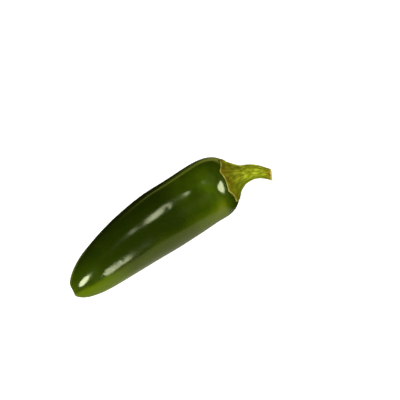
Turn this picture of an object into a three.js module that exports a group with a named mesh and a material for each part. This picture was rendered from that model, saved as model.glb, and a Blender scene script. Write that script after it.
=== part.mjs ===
// A chilli pepper as picked, lying on its side: a glossy green pod, and the calyx and stalk that grew
// from its end. Lengths are millimetres. +X runs from the blossom tip towards the stalk, +Y is the
// bulging side of the bend and +Z is up. The origin is on the surface that the pepper lies on, under
// the middle of the whole fruit.
import * as THREE from "three";

// Pod. Stations run along its axis from the blossom tip at 0 to the seat of the calyx at POD_LENGTH.
const POD_LENGTH = 81.2;
const POD_RADIUS = 13.2;
const WIDEST_STATION = 50.8;
const TAPER = 0.505; // share of the radius that is lost between the widest station and the tip
const TAPER_POWER = 1.75;
const TIP_LENGTH = 16.5;
const TIP_POWER = 2.63;
const SHOULDER_LENGTH = 12.1;
const SHOULDER_POWER = 2.87;

// How the pod lies and bends
const TIP_X = -47.4;
const AXIS_Y = 0.4;
const PRESSED_IN = 0.3; // the underside is pressed flat by this much where it lies
const REST_STATION = 47;
const ENDS_LIFT = 0.8; // the underside rises by this much at ENDS_REACH from the rest station
const ENDS_REACH = 40;
const TIP_BEND = 3.4;
const NECK_START = 65; // from this station the shoulder turns aside and rises
const NECK_TURN = 3.8;
const NECK_RISE = 3.3;

// Relief of the pod's skin
const LOBES = 3;
const LOBE_HEIGHT = 0.15;
const LOBE_PHASE = 0.7;
const WAVES = [
  { height: 0.06, length: 37, turns: 1, phase: 0.4 },
  { height: 0.03, length: 23, turns: -2, phase: 2.1 },
];

// The uneven tip: a pressed-in side, a blunt point and the blossom scar's hollow. Each has a distance
// from the tip's pole, a side, a radius and a height.
const TIP_FORMS = [
  { offset: 2.6, side: degrees(-2), radius: 1.7, height: -2.3 },
  { offset: 1.4, side: degrees(224), radius: 1.85, height: 0.26 },
  { offset: 0, side: 0, radius: 0.6, height: -0.25 },
];

// Calyx: a thin cap on the shoulder, with a pointed lobe under each rib of the stalk.
// It reaches further down the shoulder on its broad side.
const RIBS = 8;
const RIB_ANGLE = degrees(95);
const RIM_RADIUS = 9; // distance of the rim from the pod's axis
const BROAD_SIDE = degrees(114);
const BROADER_BY = 1.7;
const LOBE_REACH = 0.45;
const RIM_GAP = 0.3; // clear of the pod's skin
const RIM_THICKNESS = 0.45;
const SKIRT = 4; // how far the cap follows the shoulder before it rises
const SKIRT_CROWN = -0.5;
const FLARE = 0.9;
const CAP_RIB = 0.3;

// Stalk: a curved, ribbed stem from the cap to its oblique cut end
const STALK_REACH = new THREE.Vector3(12.95, -8.3, 0.8);
const STALK_END_DIRECTION = new THREE.Vector3(0.613, -0.776, -0.15).normalize();
const STALK_START_PULL = 8;
const STALK_END_PULL = 6;
const STALK_FROM = 0.21; // share of the stalk's path where the cap's flare ends
const STALK_THICK = 3.8;
const STALK_THIN = 2.1;
const STALK_TAPER_POWER = 1.6;
const STALK_RIB = 0.06;
const CUT_FLARE = 0.15;
const CUT_FLARE_SHARE = 0.12;
const CUT_SLANT = 1;
const CUT_LIP = degrees(215); // side whose lip stands furthest out
const CUT_HOLLOW = 0.35;

// Mesh densities
const POD_SIDES = 64;
const POD_RINGS = 44;
const CAP_SIDES = 72; // a multiple of RIBS, so that each lobe's point has a column of its own
const SEAT_RINGS = 4;
const FLARE_RINGS = 10;
const STALK_RINGS = 13;

const UP = new THREE.Vector3(0, 0, 1);
const TAU = 2 * Math.PI;
const within = (low, x, high) => Math.min(Math.max(x, low), high);

function degrees(angle) {
  return (angle * Math.PI) / 180;
}

// The body narrows slowly from its widest station to the tip.
function bodyRadius(station) {
  const towardsTip = within(0, (WIDEST_STATION - station) / WIDEST_STATION, 1);
  return POD_RADIUS * (1 - TAPER * towardsTip ** TAPER_POWER);
}

// A superellipse's quarter: 0 at the very end and 1 from the length given onwards.
function roundedEnd(distance, length, power) {
  const left = within(0, 1 - distance / length, 1);
  return (1 - left ** power) ** (1 / power);
}

function podRadius(station) {
  const tip = roundedEnd(station, TIP_LENGTH, TIP_POWER);
  const shoulder = roundedEnd(POD_LENGTH - station, SHOULDER_LENGTH, SHOULDER_POWER);
  return bodyRadius(station) * tip * shoulder;
}

// The axis keeps the underside almost level, bends at the tip and turns at the neck.
function podAxis(station) {
  const tip = within(0, 1 - (2 * station) / POD_LENGTH, 1);
  const neck = within(0, (station - NECK_START) / (POD_LENGTH - NECK_START), 1);
  const lift = ENDS_LIFT * ((station - REST_STATION) / ENDS_REACH) ** 2;
  return new THREE.Vector3(
    TIP_X + station,
    AXIS_Y - TIP_BEND * tip ** 2 - NECK_TURN * neck ** 2,
    bodyRadius(station) - PRESSED_IN + lift + NECK_RISE * neck ** 2,
  );
}

// The two directions square to a heading: level to its left, and upwards.
function across(heading) {
  const side = new THREE.Vector3().crossVectors(UP, heading).normalize();
  return { side, up: new THREE.Vector3().crossVectors(heading, side) };
}

function podHeading(station) {
  const step = 0.01;
  return podAxis(station + step).sub(podAxis(station - step)).normalize();
}

// A point on a ring round a centre: angle 0 is to the left, a quarter turn is up.
function ringPoint(centre, heading, radius, angle) {
  const { side, up } = across(heading);
  return centre
    .clone()
    .addScaledVector(side, radius * Math.cos(angle))
    .addScaledVector(up, radius * Math.sin(angle));
}

// Height of the skin's relief: shallow lobes that fade towards the tip, and long low waves.
function podRelief(station, angle) {
  const lobes = LOBE_HEIGHT * Math.cos(LOBES * angle + LOBE_PHASE) * (station / POD_LENGTH) ** 2;
  const waves = WAVES.map((wave) => {
    const cycle = (TAU * station) / wave.length + wave.turns * angle + wave.phase;
    return wave.height * Math.sin(cycle);
  });
  return waves.reduce((sum, height) => sum + height, lobes);
}

// How far the tip's forms stand out. Each fades with the distance from its middle.
function tipRelief(station, angle) {
  const radius = podRadius(station);
  const heights = TIP_FORMS.map((form) => {
    const squared = radius ** 2 + form.offset ** 2 - 2 * radius * form.offset * Math.cos(angle - form.side);
    const away = Math.sqrt(Math.max(squared, 0)) + station;
    return form.height * Math.exp(-((away / form.radius) ** 2));
  });
  return heights.reduce((sum, height) => sum + height, 0);
}

// The pod's skin at a station and an angle round its axis.
function podPoint(station, angle) {
  const relief = podRelief(station, angle) * Math.sin((Math.PI * station) / POD_LENGTH);
  const point = ringPoint(podAxis(station), podHeading(station), podRadius(station) + relief, angle);
  point.x -= tipRelief(station, angle);
  point.z = Math.max(point.z, 0);
  return point;
}

// One closed skin: rings of points from one pole to the other. Rings that turn anticlockwise as seen
// from the last pole give faces that point outwards.
function closedSkin(firstPole, rings, lastPole) {
  const sides = rings[0].length;
  const points = [firstPole, ...rings.flat(), lastPole];
  const last = points.length - 1;
  const faces = [];
  for (let i = 0; i < sides; i++) {
    const next = (i + 1) % sides;
    faces.push(0, 1 + next, 1 + i);
    for (let ring = 0; ring < rings.length - 1; ring++) {
      const a = 1 + ring * sides;
      const b = a + sides;
      faces.push(a + i, a + next, b + i, a + next, b + next, b + i);
    }
    faces.push(last, last - sides + i, last - sides + next);
  }
  const geometry = new THREE.BufferGeometry().setFromPoints(points).setIndex(faces);
  geometry.computeVertexNormals();
  return geometry;
}

function ringOf(sides, pointAt) {
  return Array.from({ length: sides }, (_, i) => pointAt((TAU * i) / sides));
}

// Pod
// The stations of its rings lie closest together at both ends, where the skin turns most.
function podGeometry() {
  const rings = [];
  for (let i = 1; i < POD_RINGS; i++) {
    const along = i / POD_RINGS;
    const station = POD_LENGTH * along ** 3 * (10 - 15 * along + 6 * along ** 2);
    rings.push(ringOf(POD_SIDES, (angle) => podPoint(station, angle)));
  }
  return closedSkin(podPoint(0, 0), rings, podPoint(POD_LENGTH, 0));
}

// Calyx and stalk
const seatCentre = podAxis(POD_LENGTH);
const seatHeading = podHeading(POD_LENGTH);
const stalkEnd = seatCentre.clone().add(STALK_REACH);
const stalkPath = new THREE.CubicBezierCurve3(
  seatCentre,
  seatCentre.clone().addScaledVector(seatHeading, STALK_START_PULL),
  stalkEnd.clone().addScaledVector(STALK_END_DIRECTION, -STALK_END_PULL),
  stalkEnd,
);

// 1 on a rib and -1 between two. The ribs aren't quite evenly strong.
function ribWave(angle) {
  return Math.cos(RIBS * (angle - RIB_ANGLE)) * (0.85 + 0.15 * Math.cos(2 * angle + 1));
}

// The rim comes to a point under each rib, with a shallow bay between two.
function rimRadius(angle) {
  const lobe = 1 - 2 * Math.abs(Math.sin((RIBS / 2) * (angle - RIB_ANGLE)));
  return RIM_RADIUS + BROADER_BY * Math.cos(angle - BROAD_SIDE) + LOBE_REACH * lobe;
}

// The shoulder's skin at a distance from the pod's axis.
function shoulderPoint(radius, angle) {
  const fullness = (1 - (radius / POD_RADIUS) ** SHOULDER_POWER) ** (1 / SHOULDER_POWER);
  return podPoint(POD_LENGTH - SHOULDER_LENGTH * (1 - fullness), angle);
}

// A point above the shoulder's skin, with the skin's outward and seatward directions there.
function aboveShoulder(radius, angle, height) {
  const step = 0.05;
  const here = shoulderPoint(radius, angle);
  const seatward = shoulderPoint(radius - step, angle).sub(here).normalize();
  const round = shoulderPoint(radius, angle + step / radius).sub(here).normalize();
  const outward = new THREE.Vector3().crossVectors(round, seatward).normalize();
  return { point: here.addScaledVector(outward, height), seatward, outward };
}

function stalkRadius(share) {
  const left = within(0, (1 - share) / (1 - STALK_FROM), 1);
  const flare = within(0, (share - 1 + CUT_FLARE_SHARE) / CUT_FLARE_SHARE, 1);
  return STALK_THIN + (STALK_THICK - STALK_THIN) * left ** STALK_TAPER_POWER + CUT_FLARE * flare ** 2;
}

function stalkPoint(share, angle, inset = 1) {
  const radius = stalkRadius(share) * (1 + STALK_RIB * ribWave(angle)) * inset;
  return ringPoint(stalkPath.getPoint(share), stalkPath.getTangent(share), radius, angle);
}

// One meridian of the cap's outside: a Bezier curve that leaves the rim along the shoulder and meets
// the stalk along its path.
function flareMeridian(angle) {
  const rim = aboveShoulder(rimRadius(angle), angle, RIM_GAP + RIM_THICKNESS);
  const crown = SKIRT_CROWN + CAP_RIB * ribWave(angle);
  const top = stalkPoint(STALK_FROM, angle);
  return new THREE.CubicBezierCurve3(
    rim.point,
    rim.point.clone().addScaledVector(rim.seatward, SKIRT).addScaledVector(rim.outward, crown),
    top.clone().addScaledVector(stalkPath.getTangent(STALK_FROM), -FLARE),
    top,
  );
}

// The end is cut on a slant, and its face is a little hollow.
function cutPoint(angle, inset, hollow) {
  const slant = CUT_SLANT * Math.cos(angle - CUT_LIP) * inset;
  return stalkPoint(1, angle, inset).addScaledVector(stalkPath.getTangent(1), slant - hollow);
}

function calyxAndStalkGeometry() {
  const rings = [];
  for (let i = 1; i <= SEAT_RINGS; i++) {
    const share = i / SEAT_RINGS;
    rings.push(ringOf(CAP_SIDES, (angle) => aboveShoulder(rimRadius(angle) * share, angle, RIM_GAP).point));
  }
  const meridians = ringOf(CAP_SIDES, flareMeridian);
  for (let i = 0; i <= FLARE_RINGS; i++) {
    rings.push(meridians.map((curve) => curve.getPoint(i / FLARE_RINGS)));
  }
  for (let i = 1; i < STALK_RINGS; i++) {
    const share = STALK_FROM + ((1 - STALK_FROM) * i) / STALK_RINGS;
    rings.push(ringOf(CAP_SIDES, (angle) => leanTowardsCut(share, angle)));
  }
  rings.push(ringOf(CAP_SIDES, (angle) => cutPoint(angle, 1, 0)));
  rings.push(ringOf(CAP_SIDES, (angle) => cutPoint(angle, 0.7, CUT_HOLLOW / 2)));
  const underside = seatCentre.clone().addScaledVector(seatHeading, RIM_GAP);
  return closedSkin(underside, rings, cutPoint(0, 0, CUT_HOLLOW));
}

// Rings near the cut lean over to lie along it.
function leanTowardsCut(share, angle) {
  const lean = ((share - STALK_FROM) / (1 - STALK_FROM)) ** 3;
  const slant = CUT_SLANT * Math.cos(angle - CUT_LIP) * lean;
  return stalkPoint(share, angle).addScaledVector(stalkPath.getTangent(share), slant);
}

const podSkin = new THREE.MeshStandardMaterial({ color: 0x2f4a08, roughness: 0.22, metalness: 0 });
const stalkSkin = new THREE.MeshStandardMaterial({ color: 0x8f9a2c, roughness: 0.6, metalness: 0 });

const pod = new THREE.Mesh(podGeometry(), podSkin);
pod.name = "pod";

const calyxAndStalk = new THREE.Mesh(calyxAndStalkGeometry(), stalkSkin);
calyxAndStalk.name = "calyx_and_stalk";

const chilliPepper = new THREE.Group();
chilliPepper.add(pod, calyxAndStalk);

export default chilliPepper;
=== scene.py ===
"""A green chilli pepper lying on a pale floor: a glossy pod, and the calyx and stalk that grew from its end.

Lengths are worked out in millimetres and go into the meshes in metres. +X runs from the blossom tip towards
the stalk, +Z is up and the floor is at height 0. Each skin is a grid of rings, every point worked out from a
place along the fruit and an angle round it: angle 0 is to the left of the heading and a quarter turn is up.
"""

import math

import bpy
import numpy as np
from mathutils import Matrix, Vector


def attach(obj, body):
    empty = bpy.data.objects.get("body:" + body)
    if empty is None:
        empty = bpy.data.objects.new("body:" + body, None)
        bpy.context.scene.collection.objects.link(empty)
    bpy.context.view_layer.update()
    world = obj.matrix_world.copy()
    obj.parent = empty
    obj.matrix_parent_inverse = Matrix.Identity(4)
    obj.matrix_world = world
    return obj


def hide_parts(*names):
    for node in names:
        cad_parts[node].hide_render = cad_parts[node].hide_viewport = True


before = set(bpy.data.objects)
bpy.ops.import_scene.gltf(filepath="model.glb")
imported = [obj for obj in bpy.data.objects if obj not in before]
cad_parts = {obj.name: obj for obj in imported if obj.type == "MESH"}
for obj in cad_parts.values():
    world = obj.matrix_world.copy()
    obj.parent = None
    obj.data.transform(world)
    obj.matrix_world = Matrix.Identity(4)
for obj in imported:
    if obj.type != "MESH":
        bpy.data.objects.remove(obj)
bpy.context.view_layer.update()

MM = 0.001
TAU = 2 * math.pi

# Pod, with the same driving sizes as the solid that it covers
POD_LENGTH = 81.2
POD_RADIUS = 13.2
WIDEST_STATION = 50.8
TAPER = 0.505
TAPER_POWER = 1.75
TIP_LENGTH = 16.5
TIP_POWER = 2.63
SHOULDER_LENGTH = 12.1
SHOULDER_POWER = 2.87

# How the pod lies and bends
TIP_X = -47.4
AXIS_Y = 0.4
PRESSED_IN = 0.3
REST_STATION = 47
ENDS_LIFT = 0.8
ENDS_REACH = 40
TIP_BEND = 3.4
NECK_START = 65
NECK_TURN = 3.8
NECK_RISE = 3.3

# Relief of the pod's skin: broad lobes, and long waves as (height, length, turns, phase)
LOBES = 3
LOBE_HEIGHT = 0.15
LOBE_PHASE = 0.7
WAVES = [(0.06, 37, 1, 0.4), (0.03, 23, -2, 2.1)]

# The uneven tip: a pressed-in side, a blunt point and the blossom scar's hollow, each as
# (distance from the tip's pole, degrees round it, radius, height)
TIP_FORMS = [(2.6, -2, 1.7, -2.3), (1.4, 224, 1.85, 0.26), (0, 0, 0.6, -0.25)]

# Unevenness that only shows in the shine: many weak ripples in space, each this steep
RIPPLES = 60
RIPPLE_LENGTHS = (6, 20)
RIPPLE_SLOPE = 0.0014
RIPPLE_SEED = 11

# Dents and pimples of the skin, as (station, degrees round the pod, radius, height)
MARKS = [
    (47.6, 104, 1.1, -0.06),
    (12.2, 131, 0.9, 0.08),
    (11, 130, 0.5, 0.08),
    (10.2, 133, 0.45, 0.07),
    (59.5, 101, 3.0, 0.2),
    (20.7, 131, 0.8, 0.03),
    (66.5, 101, 4, 0.12),
    (73.5, 101, 3.5, -0.35),
    (29, 62, 1.3, -0.07),
    (26, 138, 5, 0.12),
    (72, 121, 2.5, 0.12),
    (76, 125, 3, -0.15),
    (58, 20, 1.1, -0.08),
    (66, 200, 1.4, -0.06),
]

# Ripples and marks fade out where the pod is thinner, or lower above the floor, than this
UNEVEN_RADIUS = 3
UNEVEN_HEIGHT = 2

# Colour zones of the pod. A pair of numbers holds where a zone's edge starts and ends: stations along the
# pod, or depths, which run from -1 at the top of a ring to 1 at its bottom. The waves of an edge are
# (height, length, phase), and patches are (station, spread).
# The paler underside is partly the skin's own tone and partly painted light from the floor
PALE_DEPTHS = (-0.7, -0.36)
PALE_EDGE_WAVES = [(0.04, 6, 1), (0.03, 2.7, 0)]
PALE_LEAST = 0.25
PALE_PATCHES = [(0, 13), (69, 7)]
PALE_STOP = (72, 77)
# Painted light from the floor on the underside of the tip, as a lighter green
LIT_TIP_DEPTHS = (-0.86, -0.64)
LIT_TIP_EDGE_WAVES = [(0.03, 1.7, 0), (0.015, 0.7, 2)]
LIT_TIP_EDGE_SLOPE = 0.009
LIT_TIP_STOP = (8, 27)
LIT_TIP_TONGUES = [(3, 3, 1), (1.5, 7, 0)]  # (reach, count round the pod, phase)
LIT_TIP_POINT = 0.3
LIT_TIP_POINT_SPREAD = 2.5
# A lighter leaf green towards the shoulder and at the tip
LIGHTER_GREEN_START = (46, 66)
LIGHTER_GREEN_LOSS = 0.45
LIGHTER_GREEN_LOSS_START = (64, 76)
LIGHTER_GREEN_TIP = 0.45
LIGHTER_GREEN_TIP_SPREAD = 15
SCAR_RADIUS = 0.6

# Calyx and stalk
RIBS = 8
RIB_ANGLE = math.radians(95)
RIB_UNEVENNESS = 0.15
RIM_RADIUS = 9
BROAD_SIDE = math.radians(114)
BROADER_BY = 1.7
LOBE_REACH = 0.45
RIM_GAP = 0.06
RIM_THICKNESS = 0.34
SKIRT = 4
SKIRT_CROWN = -0.5
FLARE = 0.9
CAP_RIB = 0.3
STALK_REACH = np.array([12.95, -8.3, 0.8])
STALK_END_DIRECTION = np.array([0.613, -0.776, -0.15])
STALK_START_PULL = 8
STALK_END_PULL = 6
STALK_FROM = 0.21
STALK_THICK = 3.8
STALK_THIN = 2.1
STALK_TAPER_POWER = 1.6
STALK_RIB = 0.06
CUT_FLARE = 0.15
CUT_FLARE_SHARE = 0.12
CUT_SLANT = 1
CUT_LIP = math.radians(215)
CUT_HOLLOW = 0.35

# Dried skin of the calyx and stalk: fine ridges that run up it, as (count round it, height, phase, drift
# along it), and short creases across it. Pairs are shares of the way from the rim to the cut.
RIDGES = [(13, 0.1, 0.3, 1.3), (19, 0.09, 1.9, -2.0), (29, 0.06, 4.4, 3.1), (41, 0.03, 2.7, -4.0)]
RIDGE_SWELL = 0.3
RIDGES_START = (0, 0.06)
RIDGES_STOP = (0.96, 1)
CREASE_HEIGHT = 0.01
CREASE_LENGTH = 0.9
CREASES_START = (0.02, 0.15)
CREASES_STOP = (0.3, 0.6)
CREST_HEIGHT = 0.4  # from a trough, which counts as 0, to a crest, which counts as 1
RIM_LINE_STOP = (0, 0.012)
CUT_START = (0.962, 0.985)
UPPER_SIDE = math.radians(55)

# Patterns lie on each skin as on a straight rod of this radius and length
POD_ROD_RADIUS = 10
STALK_ROD_RADIUS = 3
STALK_ROD_LENGTH = 20

# Grids
POD_SIDES = 320
POD_RINGS = 260
CAP_SIDES = 288
SEAT_RINGS = 8
LIP_RINGS = 8
FLARE_RINGS = 70
STALK_RINGS = 90
CUT_RINGS = 16

# Colours of the pod's skin, as light that it gives back
DEEP_GREEN = (0.0062, 0.0155, 0.0001, 1)
OLIVE_GREEN = (0.0105, 0.016, 0.0001, 1)
LEAF_GREEN = (0.034, 0.066, 0.0003, 1)
LEAF_OLIVE = (0.042, 0.07, 0.0003, 1)
# Paler underside: partly its own tone, partly painted light from the floor
PALE_FLOOR_LIT_GREEN = (0.07, 0.092, 0.001, 1)
# Painted light from the floor on the tip's underside
FLOOR_LIT_TIP_GREEN = (0.062, 0.098, 0.0004, 1)
SCAR_BROWN = (0.06, 0.05, 0.006, 1)
WAX_TINT = (0.93, 1, 0.56, 1)

# How strongly the pod's patterns show, and its roughness with what patches and specks add to it
LIGHTER_GREEN_EVENNESS = 0.35
SPECKS_SHARE = 0.05
PALE_UNEVENNESS = 0.5
PALE_EVENNESS = 0.75
# share of the painted light on the tip's underside
LIT_TIP_SHARE = 0.85
WAXY_ROUGHNESS = 0.11
PATCH_ROUGHNESS = 0.06
SPECK_ROUGHNESS = 0.03
SKIN_GRAIN_DEPTH = 0.01

# Colours of the dried calyx and stalk
DRY_TINT = (1, 0.95, 0.15, 1)
STALK_GREEN = (0.13, 0.165, 0.001, 1)
STALK_PALE = (0.46, 0.53, 0.03, 1)
CALYX_GREEN = (0.075, 0.09, 0.0005, 1)
CALYX_OLIVE = (0.26, 0.275, 0.006, 1)
# Painted shade on the stalk's upper side, partly its own olive tone
SHADED_UPPER_OLIVE = (0.09, 0.075, 0.001, 1)
# Painted shade on the stalk's underside
SHADED_UNDER_GREEN = (0.085, 0.115, 0.0008, 1)
GROOVE_BROWN = (0.04, 0.026, 0.001, 1)
RUSTY_BROWN = (0.13, 0.065, 0.001, 1)
RIM_CREAM = (0.3, 0.27, 0.06, 1)
CORK_CREAM = (0.5, 0.41, 0.14, 1)
CORK_TAN = (0.26, 0.17, 0.04, 1)
PITH_BROWN = (0.1, 0.06, 0.02, 1)

# How strongly the dried skin's patterns show. A pair holds the values where a zone shows nothing and
# where it shows in full: shares of the way to the cut, heights of the relief, or shares of the upper side.
STREAK_STRETCH = (0.3, 1, 1)
NET_STRETCH = (0.5, 1, 1)
NET_LEVELS = (-0.25, 0.2)
CAP_ZONE = (0.45, 0.12)
# painted shade on the upper side, partly its own olive tone
UPPER_SHADE_SHARE = 0.45
# painted shade on the underside
UNDER_SHADE_ZONE = (0.65, 0.2)
UNDER_SHADE_SHARE = 0.85
# Paler crests and brown troughs of the dried relief
PALER_CRESTS = (0.55, 0.95)
PALER_CRESTS_SHARE = 0.6
DARKER_TROUGHS = (0.35, 0.0)
DARKER_TROUGHS_SHARE = 0.6
GROOVES_SHARE = 0.1
RIM_ZONE = (0.16, 0.02)
RIM_BROWN_SHARE = 0.5
END_ZONE = (0.84, 0.92)
RIM_LINE_EVENNESS = 0.35
PITH_ZONE = (0.3, 0.7)
DRY_ROUGHNESS = 0.42
STREAK_ROUGHNESS = 0.12
CUT_ROUGHNESS = 0.3
DRY_GRAIN_DEPTH = 0.12

# Camera, as the photograph was taken: where it looks from, the point that it is measured from,
# and the pixel where that point lies in the photograph's frame
CAMERA_AZIMUTH = math.radians(-37.1)
CAMERA_ELEVATION = math.radians(58.9)
CAMERA_DISTANCE = 0.611
CAMERA_LENS = 135
CAMERA_SENSOR = 36
CAMERA_NEAR = 0.05
CAMERA_FAR = 50
SIGHT_POINT = np.array([TIP_X + 40.6, AXIS_Y, 10]) * MM
SIGHT_PIXEL = (150.3, 231.6)
PHOTO_SIDE = 400

# Studio: elliptical softboxes, each where one of the skin's highlights mirrors it, as
# (name, direction from the pepper, upward side, width, height, brightness), in metres
LIGHT_DISTANCE = 2.0
LIGHTS = [
    ("front_right", (0.6, -0.54, 0.59), (0.1, 0.67, 0.48), 0.68, 1.12, 14.5),
    ("overhead", (0.145, 0.07, 0.985), (0.3, 1, 0), 0.36, 0.85, 6),
    ("overhead_core", (0.115, 0.05, 0.985), (0.3, 1, 0), 0.24, 0.6, 3.4),
    ("overhead_left", (-0.1, 0.1, 0.98), (0, 1, 0), 0.1, 0.6, 6),
    ("front", (-0.163, -0.892, 0.421), (-0.19, 0.268, 0.5), 0.28, 1.2, 11),
    ("left", (-0.79, -0.22, 0.54), (0, 0, 1), 0.95, 1.08, 19),
]
SURROUNDINGS = (0.043, 0.048, 0.005, 1)
BACKDROP = (0.9, 0.9, 0.9, 1)

# Floor, with what shiny surfaces see of it
FLOOR_REACH = 12.0
FLOOR_WHITE = (0.8, 0.8, 0.8, 1)
FLOOR_GLOW = 0.6
GLOW_WHITE = (1, 1, 1, 1)
SHADED_FLOOR = (0.1, 0.1, 0.08, 1)
MIRRORED_FRONT = (0.55, 0.55, 0.42, 1)
MIRRORED_TIP = (0.15, 0.16, 0.01, 1)
MIRRORED_BACK = (0.01, 0.012, 0.002, 1)
MIRRORED_FAR = (0.75, 0.8, 0.15, 1)

# Where the floor changes, in metres. Behind the pod is told by Y plus a share of X.
BEHIND_SHARE = 0.5
BEHIND_POD = (-0.02, 0.015)
BESIDE_STALK = (0.026, 0.036)
TIP_TO_FRONT = (-0.055, -0.02)
FAR_ALONG = (0.035, 0.085)
FAR_BEHIND = (0.0, 0.03)


# The pod's surface, and what both skins share
def unit(vectors):
    """Each vector divided by its own length."""
    return vectors / np.linalg.norm(vectors, axis=-1, keepdims=True)


def body_radius(station):
    """The full radius, less a share that grows as a power of the way from the widest station to the tip."""
    towards_tip = np.clip((WIDEST_STATION - station) / WIDEST_STATION, 0, 1)
    return POD_RADIUS * (1 - TAPER * towards_tip**TAPER_POWER)


def rounded_end(distance, length, power):
    """A superellipse's quarter: 0 at the very end, 1 from the given length onwards."""
    left = np.clip(1 - distance / length, 0, 1)
    return np.maximum(1 - left**power, 0) ** (1 / power)


def pod_radius(station):
    """The body's radius times the rounding of the tip and of the shoulder."""
    tip = rounded_end(station, TIP_LENGTH, TIP_POWER)
    shoulder = rounded_end(POD_LENGTH - station, SHOULDER_LENGTH, SHOULDER_POWER)
    return body_radius(station) * tip * shoulder


def pod_axis(station):
    """Centres of the rings: an underside almost level, its ends lifted by squares, and square-law bends at
    the tip and the neck."""
    tip = np.clip(1 - 2 * station / POD_LENGTH, 0, 1)
    neck = np.clip((station - NECK_START) / (POD_LENGTH - NECK_START), 0, 1)
    lift = ENDS_LIFT * ((station - REST_STATION) / ENDS_REACH) ** 2
    y = AXIS_Y - TIP_BEND * tip**2 - NECK_TURN * neck**2
    z = body_radius(station) - PRESSED_IN + lift + NECK_RISE * neck**2
    return np.stack(np.broadcast_arrays(TIP_X + station, y, z), axis=-1)


def pod_heading(station):
    """Direction of the axis, from two close stations."""
    step = 0.01
    return unit(pod_axis(station + step) - pod_axis(station - step))


def ring_points(centre, heading, radius, angle):
    """Centre plus radius times (cosine times the level left direction plus sine times the upward one)."""
    side = unit(np.cross([0.0, 0.0, 1.0], heading))
    up = np.cross(heading, side)
    outwards = np.cos(angle)[..., None] * side + np.sin(angle)[..., None] * up
    return centre + radius[..., None] * outwards


def pod_relief(station, angle):
    """Three broad lobes that fade towards the tip plus sine waves that wind round the pod."""
    relief = LOBE_HEIGHT * np.cos(LOBES * angle + LOBE_PHASE) * (station / POD_LENGTH) ** 2
    for height, length, turns, phase in WAVES:
        relief = relief + height * np.sin(TAU * station / length + turns * angle + phase)
    return relief * np.sin(math.pi * np.clip(station / POD_LENGTH, 0, 1))


def tip_relief(station, angle):
    """Sum of the tip's forms: each its height times exp(-(distance / radius) squared), where the distance
    is the station plus how far the ring's point lies from the form's middle by the cosine rule."""
    radius = pod_radius(station)
    total = 0
    for offset, degrees, size, height in TIP_FORMS:
        squared = radius**2 + offset**2 - 2 * radius * offset * np.cos(angle - math.radians(degrees))
        away = np.sqrt(np.maximum(squared, 0)) + station
        total = total + height * np.exp(-((away / size) ** 2))
    return total


def pod_points(station, angle):
    """The pod's skin: rings square to the axis with relief, an uneven tip, and nothing below the floor."""
    station, angle = np.broadcast_arrays(np.asarray(station, float), np.asarray(angle, float))
    outwards = pod_radius(station) + pod_relief(station, angle)
    points = ring_points(pod_axis(station), pod_heading(station), outwards, angle)
    points[..., 0] -= tip_relief(station, angle)
    points[..., 2] = np.maximum(points[..., 2], 0)
    return points


def grid_normals(points):
    """Normals of a grid of rings, closed round the second axis, from differences along both."""
    along = np.gradient(points, axis=0)
    around = np.roll(points, -1, axis=1) - np.roll(points, 1, axis=1)
    return unit(np.cross(around, along))


def ripples(points):
    """Sum of weak sine waves in space, equally steep, with seeded random lengths and directions."""
    draw = np.random.default_rng(RIPPLE_SEED)
    total = np.zeros(points.shape[:-1])
    for _ in range(RIPPLES):
        frequency = TAU / draw.uniform(*RIPPLE_LENGTHS)
        direction = unit(draw.normal(size=3))
        total += RIPPLE_SLOPE / frequency * np.sin(frequency * (points @ direction) + draw.uniform(0, TAU))
    return total


def marks(station, angle):
    """Sum of round dents and pimples: each its height times exp(-(distance / radius) squared), with the
    distance over the skin from the difference of stations and the shortest turn round the pod."""
    total = 0
    for centre, degrees, size, height in MARKS:
        turn = np.angle(np.exp(1j * (angle - math.radians(degrees))))
        squared = (station - centre) ** 2 + (pod_radius(station) * turn) ** 2
        total = total + height * np.exp(-squared / size**2)
    return total


def smooth_step(values, start, stop):
    """0 before the start and 1 after the stop, with the cubic 3t squared minus 2t cubed between."""
    share = np.clip((values - start) / (stop - start), 0, 1)
    return share**2 * (3 - 2 * share)


def edge_waves(station, waves):
    """Sum of height times sin(station / length + phase)."""
    return sum(height * np.sin(station / length + phase) for height, length, phase in waves)


def bell(place, middle, spread):
    """A bell curve: exp(-((place - middle) / spread) squared)."""
    return np.exp(-(((place - middle) / spread) ** 2))


def rod(along, radius, angle):
    """The grid straightened to a rod, for patterns that follow the skin: along, cos and sin of the angle."""
    return np.stack(np.broadcast_arrays(along, radius * np.cos(angle), radius * np.sin(angle)), axis=-1)


def closed_skin(name, rings, first_pole, last_pole, attributes):
    """A closed mesh from a grid of rings and a pole at each end: quads between rings and triangles at the
    poles. Each attribute is its grid of values with the values at the two poles."""
    count, sides = rings.shape[:2]
    corner = np.arange(count * sides).reshape(count, sides)
    beside = np.roll(corner, -1, axis=1)
    quads = np.stack([corner[:-1], beside[:-1], beside[1:], corner[1:]], axis=-1).reshape(-1, 4)
    first = np.full(sides, count * sides)
    first_fan = np.stack([first, beside[0], corner[0]], axis=-1)
    last_fan = np.stack([first + 1, corner[-1], beside[-1]], axis=-1)
    points = np.concatenate([rings.reshape(-1, 3), first_pole[None], last_pole[None]]) * MM
    mesh = bpy.data.meshes.new(name)
    mesh.from_pydata(points.tolist(), [], quads.tolist() + first_fan.tolist() + last_fan.tolist())
    mesh.polygons.foreach_set("use_smooth", np.ones(len(mesh.polygons), bool))
    for label, (grid, first_value, last_value) in attributes.items():
        kind, field = ("FLOAT_VECTOR", "vector") if grid.ndim == 3 else ("FLOAT", "value")
        layer = mesh.attributes.new(label, kind, "POINT")
        ends = np.array([first_value, last_value])
        values = np.concatenate([grid.ravel(), ends.ravel()])
        layer.data.foreach_set(field, values.astype(np.float32))
    mesh.update()
    piece = bpy.data.objects.new(name, mesh)
    bpy.context.scene.collection.objects.link(piece)
    return piece


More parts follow.
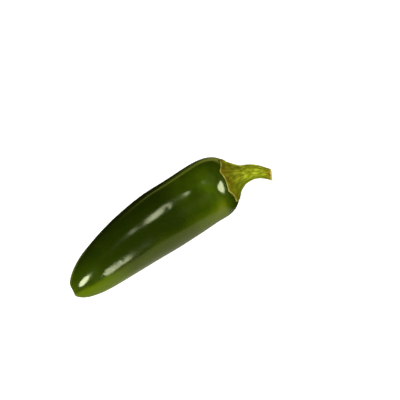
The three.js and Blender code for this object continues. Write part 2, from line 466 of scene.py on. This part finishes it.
def pale_floor_lit_zone(station, depth):
    """Paler underside, partly the skin's own tone and partly painted light from the floor: weak but for
    patches at the tip and before the shoulder, and none of the shoulder.
    """
    under = smooth_step(edge_waves(station, PALE_EDGE_WAVES) + depth, *PALE_DEPTHS)
    patches = sum(bell(station, middle, spread) for middle, spread in PALE_PATCHES)
    return under * (PALE_LEAST + (1 - PALE_LEAST) * patches) * (1 - smooth_step(station, *PALE_STOP))


def lit_tip_zone(station, angle, depth):
    """Painted light from the floor on the underside of the tip, whose edge slopes, ending in uneven tongues,
    plus the tip's very point.
    """
    edge = edge_waves(station, LIT_TIP_EDGE_WAVES) - LIT_TIP_EDGE_SLOPE * station
    under = smooth_step(edge + depth, *LIT_TIP_DEPTHS)
    tongues = sum(reach * np.sin(count * angle + phase) for reach, count, phase in LIT_TIP_TONGUES)
    ending = 1 - smooth_step(station + tongues, *LIT_TIP_STOP)
    return np.clip(under * ending + LIT_TIP_POINT * bell(station, 0, LIT_TIP_POINT_SPREAD), 0, 1)


def lighter_green_zone(station):
    """A lighter leaf green: the shoulder, less towards its end, and some of the tip."""
    loss = LIGHTER_GREEN_LOSS * smooth_step(station, *LIGHTER_GREEN_LOSS_START)
    shoulder = smooth_step(station, *LIGHTER_GREEN_START) * (1 - loss)
    return shoulder + LIGHTER_GREEN_TIP * bell(station, 0, LIGHTER_GREEN_TIP_SPREAD)


def make_pod():
    """The pod on a fine grid whose stations crowd towards both ends by the quintic 10t cubed minus 15t to
    the fourth plus 6t to the fifth, with ripples and marks along its normals."""
    along = np.linspace(0, 1, POD_RINGS + 1)[1:-1]
    station = (POD_LENGTH * along**3 * (10 - 15 * along + 6 * along**2))[:, None]
    angle = np.linspace(0, TAU, POD_SIDES, endpoint=False)[None, :]
    points = pod_points(station, angle)
    fade = np.clip(pod_radius(station) / UNEVEN_RADIUS, 0, 1) * np.clip(points[..., 2] / UNEVEN_HEIGHT, 0, 1)
    unevenness = (ripples(points) + marks(station, angle)) * fade
    points = points + grid_normals(points) * unevenness[..., None]
    points[..., 2] = np.maximum(points[..., 2], 0)

    grid = points.shape[:2]
    depth = -np.sin(angle)
    scar = bell(pod_radius(station), 0, SCAR_RADIUS) * (station < TIP_LENGTH)
    attributes = {
        "straight": (rod(station, POD_ROD_RADIUS, angle), (0, 0, 0), (POD_LENGTH, 0, 0)),
        # painted light from the floor on the underside, partly the skin's own paler tone
        "pale_floor_lit": (pale_floor_lit_zone(station, depth), 0.5, 0),
        # painted light from the floor on the tip's underside
        "lit_tip": (lit_tip_zone(station, angle, depth), 1, 0),
        "lighter_green": (np.broadcast_to(lighter_green_zone(station), grid), 0, 1),
        "scar": (np.broadcast_to(scar, grid), 1, 0),
    }
    return closed_skin("pod_skin", points, pod_points(0, 0), pod_points(POD_LENGTH, 0), attributes)


# The calyx and stalk's surface
def bezier(start, pull, draw, end, share):
    """Cubic Bezier curve through arrays of control points."""
    rest = 1 - share
    return start * rest**3 + 3 * pull * share * rest**2 + 3 * draw * share**2 * rest + end * share**3


def stalk_path(share):
    """Centre line of the stalk, from the middle of the calyx's seat to the cut."""
    share = np.asarray(share, float)[..., None]
    seat = pod_axis(POD_LENGTH)
    end = seat + STALK_REACH
    pull = seat + STALK_START_PULL * pod_heading(POD_LENGTH)
    draw = end - STALK_END_PULL * unit(STALK_END_DIRECTION)
    return bezier(seat, pull, draw, end, share)


def stalk_heading(share):
    """Direction of the stalk's centre line, from two close shares."""
    step = 0.001
    return unit(stalk_path(share + step) - stalk_path(share - step))


def rib_wave(angle):
    """1 on a rib and -1 between two, with the ribs unevenly strong."""
    strength = 1 - RIB_UNEVENNESS + RIB_UNEVENNESS * np.cos(2 * angle + 1)
    return np.cos(RIBS * (angle - RIB_ANGLE)) * strength


def rim_radius(angle):
    """Distance of the rim from the pod's axis, with a point under each rib and a shallow bay between two."""
    lobe = 1 - 2 * np.abs(np.sin(RIBS / 2 * (angle - RIB_ANGLE)))
    return RIM_RADIUS + BROADER_BY * np.cos(angle - BROAD_SIDE) + LOBE_REACH * lobe


def shoulder_points(radius, angle):
    """The shoulder's skin at a distance from the pod's axis, from the superellipse turned round."""
    fullness = (1 - (radius / POD_RADIUS) ** SHOULDER_POWER) ** (1 / SHOULDER_POWER)
    return pod_points(POD_LENGTH - SHOULDER_LENGTH * (1 - fullness), angle)


def above_shoulder(radius, angle):
    """A point of the shoulder's skin, with its seatward and outward directions."""
    step = 0.05
    here = shoulder_points(radius, angle)
    seatward = unit(shoulder_points(radius - step, angle) - here)
    around = unit(shoulder_points(radius, angle + step / radius) - here)
    return here, seatward, unit(np.cross(around, seatward))


def stalk_radius(share):
    """Thin at the cut and thicker towards the cap by a power, with a small flare at the cut."""
    left = np.clip((1 - share) / (1 - STALK_FROM), 0, 1)
    flare = np.clip((share - 1 + CUT_FLARE_SHARE) / CUT_FLARE_SHARE, 0, 1)
    return STALK_THIN + (STALK_THICK - STALK_THIN) * left**STALK_TAPER_POWER + CUT_FLARE * flare**2


def stalk_points(share, angle, inset=1.0):
    """Rings round the stalk's path, ribbed."""
    share, angle = np.broadcast_arrays(np.asarray(share, float), np.asarray(angle, float))
    radius = stalk_radius(share) * (1 + STALK_RIB * rib_wave(angle)) * inset
    return ring_points(stalk_path(share), stalk_heading(share), radius, angle)


def dried_relief(along, angle):
    """Fine ridges, cosines round the stalk whose phase drifts along it and whose height swells, plus short
    creases, sines along it whose phase wanders round it."""
    ridges = 0
    for count, height, phase, drift in RIDGES:
        swell = 1 - RIDGE_SWELL + RIDGE_SWELL * np.cos(3 * angle + phase + 5 * along)
        ridges = ridges + height * swell * np.cos(count * angle + phase + drift * along)
    wander = 2 * np.sin(3 * angle) + np.sin(7 * angle + 1)
    creases = CREASE_HEIGHT * np.sin(TAU * along * STALK_ROD_LENGTH / CREASE_LENGTH + wander)
    creases = creases * smooth_step(along, *CREASES_START) * (1 - smooth_step(along, *CREASES_STOP))
    return (ridges + creases) * smooth_step(along, *RIDGES_START) * (1 - smooth_step(along, *RIDGES_STOP))


def make_calyx_and_stalk():
    """Seat, rolled lip, flaring cap, ribbed stalk and slanted hollow cut, as one grid of rings."""
    angle = np.linspace(0, TAU, CAP_SIDES, endpoint=False)[None, :]
    rim = rim_radius(angle)

    share = np.arange(1, SEAT_RINGS + 1)[:, None] / SEAT_RINGS
    here, _, outward = above_shoulder(rim * share, angle)
    seat = here + outward * RIM_GAP

    half = RIM_THICKNESS / 2
    here, seatward, outward = above_shoulder(rim, angle)
    turn = np.linspace(-0.5 * math.pi, 0.5 * math.pi, LIP_RINGS + 2)[1:, None, None]
    lip = here + outward * (RIM_GAP + half + half * np.sin(turn)) - seatward * half * np.cos(turn)

    start = here + outward * (RIM_GAP + RIM_THICKNESS)
    crown = SKIRT_CROWN + CAP_RIB * rib_wave(angle)[..., None]
    pull = start + seatward * SKIRT + outward * crown
    top = stalk_points(STALK_FROM, angle)
    draw = top - stalk_heading(STALK_FROM) * FLARE
    share = np.arange(1, FLARE_RINGS + 1)[:, None, None] / FLARE_RINGS
    flare = bezier(start, pull, draw, top, share)

    climb = np.arange(1, STALK_RINGS + 1)[:, None] / STALK_RINGS
    share = STALK_FROM + (1 - STALK_FROM) * climb
    slant = CUT_SLANT * np.cos(angle - CUT_LIP)
    stalk = stalk_points(share, angle) + stalk_heading(share) * (climb**3 * slant)[..., None]

    inset = np.linspace(1, 0, CUT_RINGS + 1)[1:-1, None]
    sink = slant * inset - CUT_HOLLOW * (1 - inset**4)
    face = stalk_points(np.ones_like(inset), angle, inset) + stalk_heading(1.0) * sink[..., None]

    skin = np.concatenate([flare, stalk])
    upwards = np.linspace(0, 1, len(skin))[:, None]
    relief = dried_relief(upwards, angle)
    skin = skin + grid_normals(skin) * relief[..., None]

    def on_rings(before, on_skin, on_face):
        """Values for every point: of the seat and the lip, of the skin and of the cut's face."""
        lower = np.full((len(seat) + len(lip), CAP_SIDES), before)
        middle = np.broadcast_to(on_skin, relief.shape)
        upper = np.broadcast_to(on_face, (len(face), CAP_SIDES))
        return np.concatenate([lower, middle, upper])

    along = on_rings(0.0, upwards, 1.0)
    ribs = np.broadcast_to(rib_wave(angle), along.shape)
    upper_side = np.broadcast_to(np.cos(angle - UPPER_SIDE), along.shape)
    straight = rod(STALK_ROD_LENGTH * along, STALK_ROD_RADIUS, angle)
    attributes = {
        "straight": (straight, (0, 0, 0), (STALK_ROD_LENGTH, 0, 0)),
        "along": (along, 0, 1),
        "rim_line": (on_rings(1.0, 1 - smooth_step(upwards, *RIM_LINE_STOP), 0.0), 1, 0),
        "cut": (on_rings(0.0, smooth_step(upwards, *CUT_START), 1.0), 0, 1),
        "pith": (on_rings(0.0, 0.0, 1 - inset), 0, 1),
        "groove": (0.5 - 0.5 * ribs, 0.5, 0.5),
        "crest": (on_rings(0.5, 0.5 + relief / CREST_HEIGHT, 0.5), 0.5, 0.5),
        # how far each point faces up, which the material uses for painted shade on the upper side and the
        # underside
        "upper": (0.5 + 0.5 * upper_side, 0.5, 0.5),
    }
    points = np.concatenate([seat, lip, skin, face])
    first = pod_axis(POD_LENGTH) + pod_heading(POD_LENGTH) * RIM_GAP
    last = stalk_path(1.0) - stalk_heading(1.0) * CUT_HOLLOW
    return closed_skin("calyx_and_stalk_skin", points, first, last, attributes)


# Materials
def add(tree, kind, inputs=None, **settings):
    """A shader node with its settings made and its inputs set to values or linked from sockets."""
    node = tree.nodes.new(kind)
    for key, value in settings.items():
        setattr(node, key, value)
    for key, value in (inputs or {}).items():
        if isinstance(value, bpy.types.NodeSocket):
            tree.links.new(value, node.inputs[key])
        else:
            node.inputs[key].default_value = value
    return node


def mix_colours(tree, share, first, second):
    """Colour between two others by a share."""
    return add(tree, "ShaderNodeMix", {0: share, 6: first, 7: second}, data_type="RGBA").outputs[2]


def calculate(tree, operation, first, second, clamp=False):
    """Value of two others by a named operation."""
    node = add(tree, "ShaderNodeMath", {0: first, 1: second}, operation=operation, use_clamp=clamp)
    return node.outputs[0]


def scaled(tree, value, factor, offset=0.0):
    """Value times a factor, plus an offset."""
    inputs = {0: value, 1: factor, 2: offset}
    return add(tree, "ShaderNodeMath", inputs, operation="MULTIPLY_ADD").outputs[0]


def ramp(tree, value, start, stop):
    """0 at the start, 1 at the stop and straight between."""
    return add(tree, "ShaderNodeMapRange", {0: value, 1: start, 2: stop}).outputs[0]


def attribute(tree, name, output="Fac"):
    """A value, or a vector, that the mesh carries at its points."""
    return add(tree, "ShaderNodeAttribute", attribute_name=name).outputs[output]


def new_group(name, inputs, output):
    """An empty node group with named inputs and one value output; gives the group and its two ends."""
    group = bpy.data.node_groups.new(name, "ShaderNodeTree")
    for label, kind in inputs.items():
        group.interface.new_socket(label, in_out="INPUT", socket_type=kind)
    group.interface.new_socket(output, in_out="OUTPUT", socket_type="NodeSocketFloat")
    return group, group.nodes.new("NodeGroupInput").outputs, group.nodes.new("NodeGroupOutput").inputs


def make_patches_group():
    """Cloudy patches of a size in millimetres: fractal noise, steepened about its middle by a contrast."""
    kinds = {"Place": "NodeSocketVector", "Size": "NodeSocketFloat", "Contrast": "NodeSocketFloat"}
    group, given, result = new_group("patches", kinds, "Mask")
    scale = calculate(group, "DIVIDE", 1, given["Size"])
    inputs = {"Vector": given["Place"], "Scale": scale, "Detail": 3, "Roughness": 0.55}
    noise = add(group, "ShaderNodeTexNoise", inputs).outputs[0]
    centred = calculate(group, "SUBTRACT", noise, 0.5)
    steep = calculate(group, "MULTIPLY", centred, given["Contrast"])
    group.links.new(calculate(group, "ADD", steep, 0.5, clamp=True), result["Mask"])
    return group


def make_grain_group():
    """Fine skin grain: fractal noise less the rounded cells of a smooth Voronoi pattern, by a share."""
    kinds = {"Place": "NodeSocketVector", "Size": "NodeSocketFloat", "Cells": "NodeSocketFloat"}
    group, given, result = new_group("skin grain", kinds, "Height")
    scale = calculate(group, "DIVIDE", 1, given["Size"])
    noise_inputs = {"Vector": given["Place"], "Scale": scale, "Detail": 4, "Roughness": 0.6}
    noise = add(group, "ShaderNodeTexNoise", noise_inputs).outputs[0]
    cell_inputs = {"Vector": given["Place"], "Scale": scale, "Smoothness": 0.6}
    cells = add(group, "ShaderNodeTexVoronoi", cell_inputs, feature="SMOOTH_F1").outputs["Distance"]
    raised = calculate(group, "MULTIPLY", cells, given["Cells"])
    group.links.new(calculate(group, "SUBTRACT", noise, raised), result["Height"])
    return group


def place_group(tree, group, **inputs):
    """The group as a node of a material, with its inputs set or linked; gives its only output."""
    return add(tree, "ShaderNodeGroup", inputs, node_tree=group).outputs[0]


def make_material(name, display, **surface):
    """A material with one Principled shader, its constant sockets set directly."""
    material = bpy.data.materials.new(name)
    material.use_nodes = True
    material.diffuse_color = display
    tree = material.node_tree
    shader = tree.nodes["Principled BSDF"]
    for key, value in surface.items():
        shader.inputs[key.replace("_", " ")].default_value = value
    return material, tree, shader


def set_surface(tree, shader, colour, roughness, height, depth):
    """The shader's colour and roughness, and a bump of a depth in millimetres."""
    bump = add(tree, "ShaderNodeBump", {"Height": height, "Distance": depth * MM, "Strength": 1})
    tree.links.new(colour, shader.inputs["Base Color"])
    tree.links.new(roughness, shader.inputs["Roughness"])
    tree.links.new(bump.outputs[0], shader.inputs["Normal"])


def pod_material(patches, grain):
    """Waxy skin: deep green with olive mottles and specks, a lighter leaf green at the shoulder and the tip,
    a paler underside that is partly painted light from the floor, painted light from the floor in green
    on the underside of the tip, a brown scar, broad soft changes of gloss and a fine grain."""
    material, tree, shader = make_material(
        "waxy_green_skin",
        DEEP_GREEN,
        Specular_Tint=WAX_TINT,
        IOR=1.5,
        Coat_Weight=0.12,
        Coat_Roughness=0.1,
    )
    place = attribute(tree, "straight", "Vector")
    broad = place_group(tree, patches, Place=place, Size=11, Contrast=2.6)
    small = place_group(tree, patches, Place=place, Size=2.2, Contrast=2)
    specks = place_group(tree, patches, Place=place, Size=0.8, Contrast=7)
    deep = mix_colours(tree, small, DEEP_GREEN, OLIVE_GREEN)
    leaf = mix_colours(tree, small, LEAF_GREEN, LEAF_OLIVE)
    clouded = calculate(tree, "ADD", broad, LIGHTER_GREEN_EVENNESS, clamp=True)
    lighter_green = calculate(tree, "MULTIPLY", attribute(tree, "lighter_green"), clouded)
    body = mix_colours(tree, lighter_green, deep, leaf)
    speckled = mix_colours(tree, scaled(tree, specks, SPECKS_SHARE), body, LEAF_GREEN)
    uneven = scaled(tree, broad, PALE_UNEVENNESS, PALE_EVENNESS)
    # paler underside: partly its own tone, partly painted light from the floor
    pale_floor_lit = calculate(tree, "MULTIPLY", attribute(tree, "pale_floor_lit"), uneven, clamp=True)
    under = mix_colours(tree, pale_floor_lit, speckled, PALE_FLOOR_LIT_GREEN)
    # painted light from the floor on the tip's underside
    lit_tip = scaled(tree, attribute(tree, "lit_tip"), LIT_TIP_SHARE)
    tip_lit_colour = mix_colours(tree, lit_tip, under, FLOOR_LIT_TIP_GREEN)
    colour = mix_colours(tree, attribute(tree, "scar"), tip_lit_colour, SCAR_BROWN)
    waxy = scaled(tree, broad, PATCH_ROUGHNESS, WAXY_ROUGHNESS)
    roughness = scaled(tree, specks, SPECK_ROUGHNESS, waxy)
    height = place_group(tree, grain, Place=place, Size=0.9, Cells=0.5)
    set_surface(tree, shader, colour, roughness, height, SKIN_GRAIN_DEPTH)
    return material


def stalk_material(patches, grain):
    """Dried skin: a yellow-green stalk with lengthwise streaks, a duller cap under a net of olive, painted
    shade in olive on the upper side, partly its own olive tone, and painted shade in darker green on the
    underside. Ridges are paler, troughs and grooves are brown, and brown blotches lie at the rim and the
    end. The rim has a cream line, and the cut is cream cork with a brown pith."""
    material, tree, shader = make_material(
        "dried_stalk_skin",
        STALK_GREEN,
        Specular_Tint=DRY_TINT,
        Specular_IOR_Level=0.15,
    )
    place = attribute(tree, "straight", "Vector")
    along = attribute(tree, "along")
    side = attribute(tree, "upper")
    crest = attribute(tree, "crest")
    cut = attribute(tree, "cut")
    streak_place = add(tree, "ShaderNodeMapping", {"Vector": place, "Scale": STREAK_STRETCH}).outputs[0]
    net_place = add(tree, "ShaderNodeMapping", {"Vector": place, "Scale": NET_STRETCH}).outputs[0]
    streaks = place_group(tree, patches, Place=streak_place, Size=0.7, Contrast=4.5)
    blotches = place_group(tree, patches, Place=place, Size=1.1, Contrast=5)
    net = ramp(tree, place_group(tree, grain, Place=net_place, Size=1.1, Cells=1.2), *NET_LEVELS)

    green = mix_colours(tree, streaks, STALK_GREEN, STALK_PALE)
    dull = mix_colours(tree, net, CALYX_GREEN, CALYX_OLIVE)
    grown = mix_colours(tree, ramp(tree, along, *CAP_ZONE), green, dull)
    # painted shade on the upper side, partly its own olive tone
    upper = mix_colours(tree, scaled(tree, side, UPPER_SHADE_SHARE), grown, SHADED_UPPER_OLIVE)

    # paler on the relief's crests
    crest_paling = calculate(tree, "MULTIPLY", ramp(tree, crest, *PALER_CRESTS), scaled(tree, net, PALER_CRESTS_SHARE))
    crests_paled = mix_colours(tree, crest_paling, upper, STALK_PALE)
    # painted shade on the underside
    below = scaled(tree, ramp(tree, side, *UNDER_SHADE_ZONE), UNDER_SHADE_SHARE)
    shaded = mix_colours(tree, below, crests_paled, SHADED_UNDER_GREEN)
    # brown in the relief's troughs
    trough_darkening = scaled(tree, ramp(tree, crest, *DARKER_TROUGHS), DARKER_TROUGHS_SHARE)
    grooves = scaled(tree, attribute(tree, "groove"), GROOVES_SHARE)
    lined = mix_colours(tree, calculate(tree, "MAXIMUM", trough_darkening, grooves), shaded, GROOVE_BROWN)

    rim_zone = scaled(tree, ramp(tree, along, *RIM_ZONE), RIM_BROWN_SHARE)
    zones = calculate(tree, "MAXIMUM", rim_zone, ramp(tree, along, *END_ZONE))
    browned = mix_colours(tree, calculate(tree, "MULTIPLY", zones, blotches), lined, RUSTY_BROWN)
    broken = calculate(tree, "ADD", streaks, RIM_LINE_EVENNESS)
    rim_line = calculate(tree, "MULTIPLY", attribute(tree, "rim_line"), broken)
    rimmed = mix_colours(tree, rim_line, browned, RIM_CREAM)
    cork = mix_colours(tree, blotches, CORK_CREAM, CORK_TAN)
    end_face = mix_colours(tree, ramp(tree, attribute(tree, "pith"), *PITH_ZONE), cork, PITH_BROWN)
    colour = mix_colours(tree, cut, rimmed, end_face)

    dry = scaled(tree, streaks, STREAK_ROUGHNESS, DRY_ROUGHNESS)
    roughness = scaled(tree, cut, CUT_ROUGHNESS, dry)
    height = place_group(tree, grain, Place=streak_place, Size=0.35, Cells=0.3)
    set_surface(tree, shader, colour, roughness, height, DRY_GRAIN_DEPTH)
    return material


# Camera and studio
def camera_directions():
    """Backward, rightward and upward directions of a camera without roll, from its azimuth and elevation."""
    level = math.cos(CAMERA_ELEVATION)
    right = np.array([math.cos(CAMERA_AZIMUTH), math.sin(CAMERA_AZIMUTH), 0.0])
    back = np.array([right[1] * level, -right[0] * level, math.sin(CAMERA_ELEVATION)])
    return back, right, np.cross(back, right)


def make_camera():
    """The camera stands where the photograph was taken from, and is turned without roll until the sight
    point lies at its pixel."""
    back, right, up = camera_directions()
    place = SIGHT_POINT + back * CAMERA_DISTANCE
    pixels_to_lens = CAMERA_SENSOR / CAMERA_LENS / PHOTO_SIDE
    aside = (PHOTO_SIDE / 2 - SIGHT_PIXEL[0]) * pixels_to_lens
    above = (SIGHT_PIXEL[1] - PHOTO_SIDE / 2) * pixels_to_lens
    back = unit(back - right * aside - up * above)
    right = unit(np.cross(up, back))
    up = np.cross(back, right)
    data = bpy.data.cameras.new("camera")
    data.lens = CAMERA_LENS
    data.sensor_width = CAMERA_SENSOR
    data.clip_start = CAMERA_NEAR
    data.clip_end = CAMERA_FAR
    camera = bpy.data.objects.new("camera", data)
    bpy.context.scene.collection.objects.link(camera)
    turn = Matrix(np.stack([right, up, back], axis=1).tolist()).to_4x4()
    camera.matrix_world = Matrix.Translation(place.tolist()) @ turn
    bpy.context.scene.camera = camera


def make_light(name, direction, upward, width, height, radiance):
    """An elliptical softbox that faces the pepper. Its power is pi times its area times its radiance."""
    data = bpy.data.lights.new(name, "AREA")
    data.shape = "ELLIPSE"
    data.size = width
    data.size_y = height
    area = math.pi / 4 * width * height
    data.energy = math.pi * area * radiance
    light = bpy.data.objects.new(name, data)
    bpy.context.scene.collection.objects.link(light)
    towards = Vector(direction).normalized()
    across = Vector(upward).cross(towards).normalized()
    above = towards.cross(across)
    turn = Matrix((across, above, towards)).transposed().to_4x4()
    light.matrix_world = Matrix.Translation(towards * LIGHT_DISTANCE) @ turn


def make_floor():
    """A glowing white table top, and white is all that the camera sees of it. For any other ray it is darker
    behind the pod and beside the stalk, and a shiny surface sees a set brightness by place instead: dim at
    the tip, bright in front, dark behind and bright green far behind the stalk."""
    corners = np.array([(-1, -1, 0), (1, -1, 0), (1, 1, 0), (-1, 1, 0)]) * FLOOR_REACH
    mesh = bpy.data.meshes.new("floor")
    mesh.from_pydata(corners.tolist(), [], [(0, 1, 2, 3)])
    floor = bpy.data.objects.new("floor", mesh)
    bpy.context.scene.collection.objects.link(floor)
    material, tree, shader = make_material(
        "white_table",
        FLOOR_WHITE,
        Roughness=0.7,
        Specular_IOR_Level=0.1,
        Emission_Strength=FLOOR_GLOW,
    )
    place = add(tree, "ShaderNodeTexCoord").outputs["Object"]
    axes = add(tree, "ShaderNodeSeparateXYZ", {0: place}).outputs
    paths = add(tree, "ShaderNodeLightPath").outputs

    behind = ramp(tree, scaled(tree, axes["X"], BEHIND_SHARE, axes["Y"]), *BEHIND_POD)
    dark_part = calculate(tree, "MAXIMUM", behind, ramp(tree, axes["X"], *BESIDE_STALK))
    unseen = calculate(tree, "SUBTRACT", 1, paths["Is Camera Ray"])
    shade = calculate(tree, "MULTIPLY", dark_part, unseen)
    tree.links.new(mix_colours(tree, shade, FLOOR_WHITE, SHADED_FLOOR), shader.inputs["Base Color"])
    tree.links.new(mix_colours(tree, shade, GLOW_WHITE, SHADED_FLOOR), shader.inputs["Emission Color"])

    front = mix_colours(tree, ramp(tree, axes["X"], *TIP_TO_FRONT), MIRRORED_TIP, MIRRORED_FRONT)
    near = mix_colours(tree, dark_part, front, MIRRORED_BACK)
    far_along = ramp(tree, axes["X"], *FAR_ALONG)
    far = calculate(tree, "MULTIPLY", far_along, ramp(tree, axes["Y"], *FAR_BEHIND))
    mirrored = add(tree, "ShaderNodeEmission", {"Color": mix_colours(tree, far, near, MIRRORED_FAR)})
    choice = {0: paths["Is Glossy Ray"], 1: shader.outputs[0], 2: mirrored.outputs[0]}
    mix = add(tree, "ShaderNodeMixShader", choice)
    tree.links.new(mix.outputs[0], tree.nodes["Material Output"].inputs["Surface"])
    mesh.materials.append(material)


def make_studio():
    """Dim surroundings with a pale backdrop for the eye, the floor and the softboxes."""
    scene = bpy.context.scene
    scene.view_settings.view_transform = "Standard"
    world = bpy.data.worlds.new("studio")
    world.use_nodes = True
    scene.world = world
    tree = world.node_tree
    surroundings = tree.nodes["Background"]
    surroundings.inputs["Color"].default_value = SURROUNDINGS
    backdrop = add(tree, "ShaderNodeBackground", {"Color": BACKDROP})
    seen = add(tree, "ShaderNodeLightPath").outputs["Is Camera Ray"]
    mix = add(tree, "ShaderNodeMixShader", {0: seen, 1: surroundings.outputs[0], 2: backdrop.outputs[0]})
    tree.links.new(mix.outputs[0], tree.nodes["World Output"].inputs["Surface"])
    make_floor()
    for light in LIGHTS:
        make_light(*light)


# The pepper
patches_group = make_patches_group()
grain_group = make_grain_group()

pod = make_pod()
pod.data.materials.append(pod_material(patches_group, grain_group))
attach(pod, "root")
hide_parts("pod")

calyx_and_stalk = make_calyx_and_stalk()
calyx_and_stalk.data.materials.append(stalk_material(patches_group, grain_group))
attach(calyx_and_stalk, "root")
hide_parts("calyx_and_stalk")

make_studio()
make_camera()
